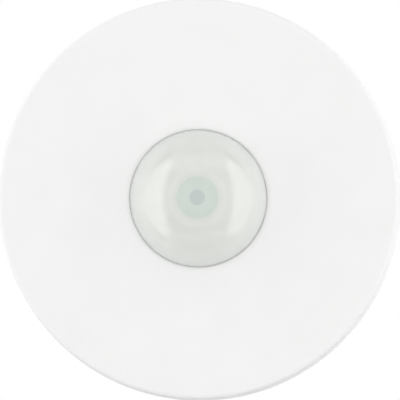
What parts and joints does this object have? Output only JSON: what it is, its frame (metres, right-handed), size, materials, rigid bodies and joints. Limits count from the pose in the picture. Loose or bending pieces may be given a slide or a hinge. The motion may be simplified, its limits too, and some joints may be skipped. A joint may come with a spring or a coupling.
{
  "type": "motion sensor",
  "caption": "Round surface-mount passive infrared motion sensor: flat white disc cover with a milky segmented dome lens in the middle, on a twist-lock mounting plate.",
  "frame": {"origin": "centre of the mounting plate's back face, where the sensor meets the wall or ceiling", "axes": "the sensor looks out along -Y; +Y goes into the wall it is fixed to; +Z is up when it is on a wall, with the cable entry below the centre; on a ceiling the part is turned so that +Y points up"},
  "size_m": [0.11, 0.0356, 0.11],
  "materials": {
    "cover_plastic": "fine satin moulded white ABS",
    "lens_plastic": "milky translucent polyethylene, faint green-grey, segmented on the inside",
    "housing_plastic": "matt moulded off-white ABS",
    "grommet_rubber": "matt black rubber",
    "gasket_foam": "dark grey closed-cell foam",
    "circuit_board": "green solder mask on glass epoxy",
    "screw_steel": "zinc-plated steel",
    "can_metal": "plated metal can",
    "filter_window": "dark coated silicon infrared filter",
    "led_red": "red tinted clear epoxy",
    "terminal_green": "moulded green polyamide",
    "chip_black": "matt black moulding compound",
    "chip_brown": "brown ceramic chip",
    "trimmer_blue": "blue moulded trimmer body",
    "switch_red": "red moulded switch body",
    "switch_white": "white moulded plastic"
  },
  "bodies": {
    "mounting_plate": {"mounting_plate": "housing_plastic"},
    "sensor_body": {"rear_housing": "housing_plastic", "cable_grommet": "grommet_rubber", "circuit_board": "circuit_board", "board_screw_1": "screw_steel", "board_screw_2": "screw_steel", "board_screw_3": "screw_steel", "pyro_spacer": "switch_white", "pyro_header": "can_metal", "pyro_can": "can_metal", "pyro_window": "filter_window", "sensor_gasket": "gasket_foam", "status_led": "led_red", "terminal_block": "terminal_green", "terminal_screw_1": "screw_steel", "terminal_screw_2": "screw_steel", "terminal_screw_3": "screw_steel", "terminal_screw_4": "screw_steel", "terminal_screw_5": "screw_steel", "terminal_screw_6": "screw_steel", "alarm_relay": "chip_black", "capacitor_1": "can_metal", "capacitor_2": "can_metal", "microcontroller": "chip_black", "amplifier_chip": "chip_black", "voltage_regulator": "chip_black", "surge_diode": "chip_black", "chip_resistor_1": "chip_black", "chip_resistor_2": "chip_black", "chip_resistor_3": "chip_black", "chip_resistor_4": "chip_black", "chip_capacitor_1": "chip_brown", "chip_capacitor_2": "chip_brown", "chip_capacitor_3": "chip_brown", "trimmer_body": "trimmer_blue", "dip_switch_body": "switch_red", "tamper_switch_body": "chip_black"},
    "front_cover": {"front_cover": "cover_plastic", "fresnel_lens": "lens_plastic", "lens_retainer": "housing_plastic", "retainer_screw_1": "screw_steel", "retainer_screw_2": "screw_steel", "retainer_screw_3": "screw_steel"},
    "tamper_plunger": {"tamper_plunger": "switch_white"},
    "range_rotor": {"trimmer_rotor": "switch_white"},
    "dip_slider_1": {"dip_slider_1": "switch_white"},
    "dip_slider_2": {"dip_slider_2": "switch_white"},
    "dip_slider_3": {"dip_slider_3": "switch_white"}
  },
  "joints": [
    {"name": "housing_twist", "type": "hinge", "parent": "mounting_plate", "child": "sensor_body", "pos_m": [0, 0, 0], "axis": [0, -1, 0], "range_deg": [0, 30]},
    {"name": "cover_pull", "type": "slide", "parent": "sensor_body", "child": "front_cover", "axis": [0, -1, 0], "range_m": [0, 0.04]},
    {"name": "tamper_travel", "type": "slide", "parent": "sensor_body", "child": "tamper_plunger", "axis": [0, -1, 0], "range_m": [0, 0.0012]},
    {"name": "range_trimmer_turn", "type": "hinge", "parent": "sensor_body", "child": "range_rotor", "pos_m": [0.02, -0.0125, 0.028], "axis": [0, -1, 0], "range_deg": [-135, 135]},
    {"name": "dip_slide_1", "type": "slide", "parent": "sensor_body", "child": "dip_slider_1", "axis": [1, 0, 0], "range_m": [0, 0.0014]},
    {"name": "dip_slide_2", "type": "slide", "parent": "sensor_body", "child": "dip_slider_2", "axis": [1, 0, 0], "range_m": [0, 0.0014]},
    {"name": "dip_slide_3", "type": "slide", "parent": "sensor_body", "child": "dip_slider_3", "axis": [1, 0, 0], "range_m": [0, 0.0014]}
  ],
  "couplings": [
    {"joint": "tamper_travel", "follows": "cover_pull", "ratio": 0.03}
  ]
}
